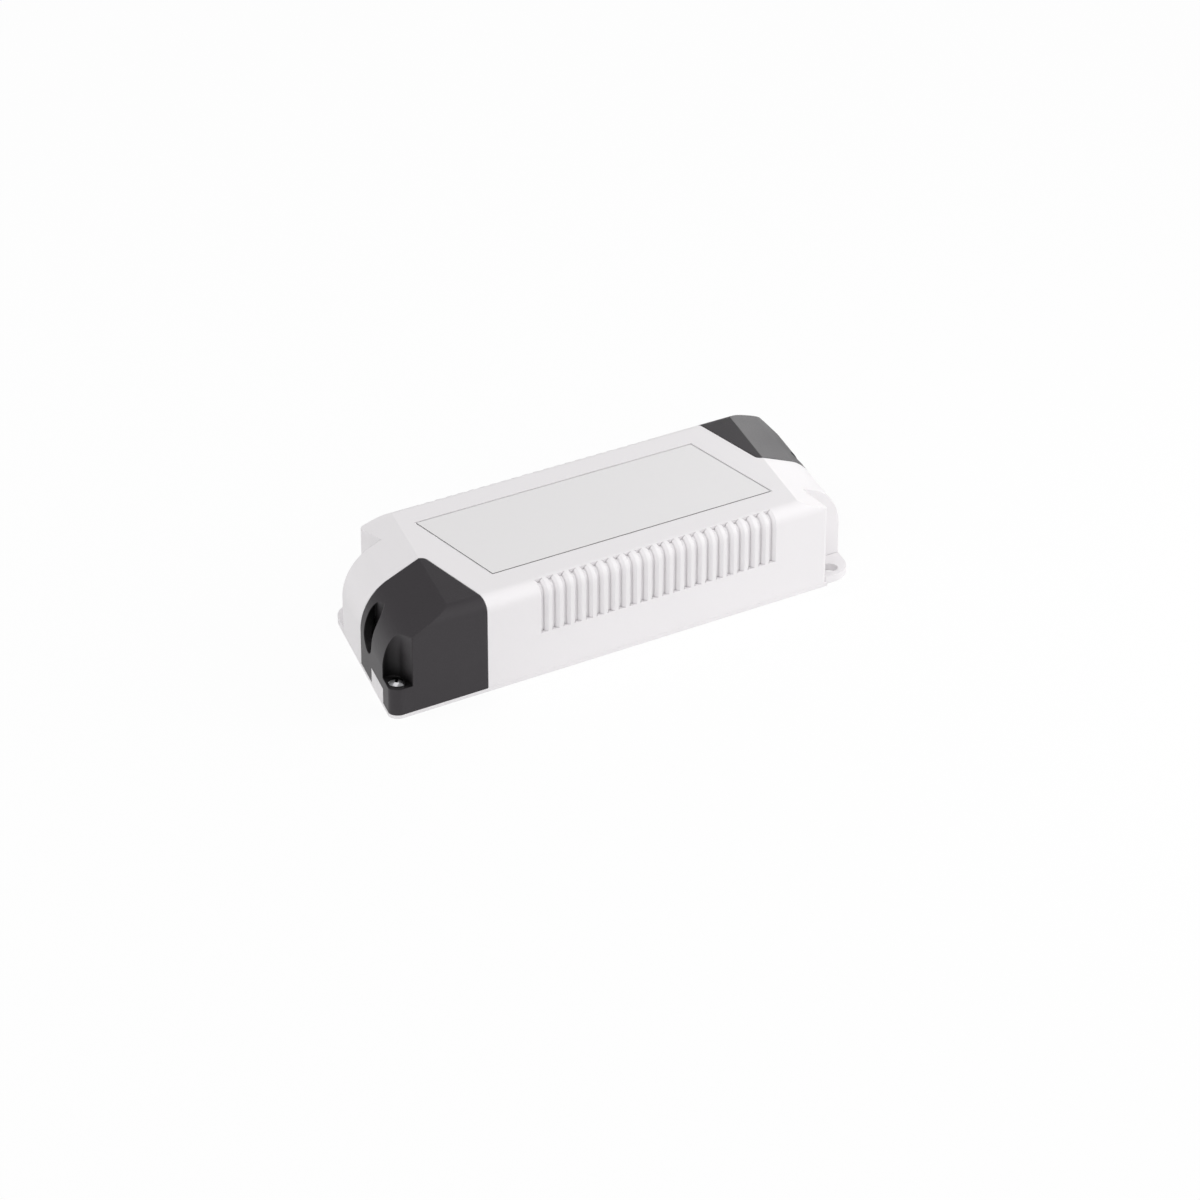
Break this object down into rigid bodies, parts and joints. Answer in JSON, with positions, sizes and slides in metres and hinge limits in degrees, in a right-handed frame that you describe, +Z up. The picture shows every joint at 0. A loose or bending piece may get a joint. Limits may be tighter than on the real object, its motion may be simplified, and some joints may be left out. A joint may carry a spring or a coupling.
{
  "type": "led driver",
  "caption": "Flat moulded LED driver with slanted rounded ends, dark screwed terminal covers at two corners, vent grooves over its long edges and a blank label.",
  "frame": {"origin": "centre of the mounting face, on the surface that the driver is fixed to", "axes": "+X along the driver, from the mains cover to the lamp cover; +Z up from the mounting face"},
  "size_m": [0.1406, 0.052, 0.0225],
  "materials": {
    "housing_white": "satin moulded",
    "cover_grey": "satin moulded",
    "label_film": "smooth film",
    "screw_steel": "bright zinc",
    "board_laminate": "solder mask",
    "terminal_green": "moulded",
    "cage_brass": "plated",
    "ferrite": "sintered",
    "copper_wire": "enamelled",
    "package_black": "moulded epoxy",
    "disc_blue": "epoxy coated",
    "film_yellow": "moulded case",
    "can_sleeve": "shrink sleeve",
    "fuse_brown": "moulded case",
    "resistor_tan": "coated",
    "bobbin_ivory": "moulded",
    "winding_tape": "taped"
  },
  "bodies": {
    "root": {"base_tray": "housing_white", "top_housing": "housing_white", "input_cover": "cover_grey", "output_cover": "cover_grey", "cover_screws": "screw_steel", "blank_label": "label_film", "circuit_board": "board_laminate", "input_terminal_block": "terminal_green", "output_terminal_block": "terminal_green", "terminal_screws": "screw_steel", "wire_cages": "cage_brass", "fuse": "fuse_brown", "varistor": "disc_blue", "film_capacitor": "film_yellow", "choke_core": "ferrite", "choke_windings": "copper_wire", "bridge_rectifier": "package_black", "bulk_capacitor": "can_sleeve", "switching_transistor": "package_black", "snubber_resistor": "resistor_tan", "controller_chip": "package_black", "transformer_core": "ferrite", "transformer_bobbin": "bobbin_ivory", "transformer_winding": "winding_tape", "safety_capacitor": "disc_blue", "optocoupler": "bobbin_ivory", "output_diode": "package_black", "output_capacitors": "can_sleeve"}
  },
  "joints": []
}
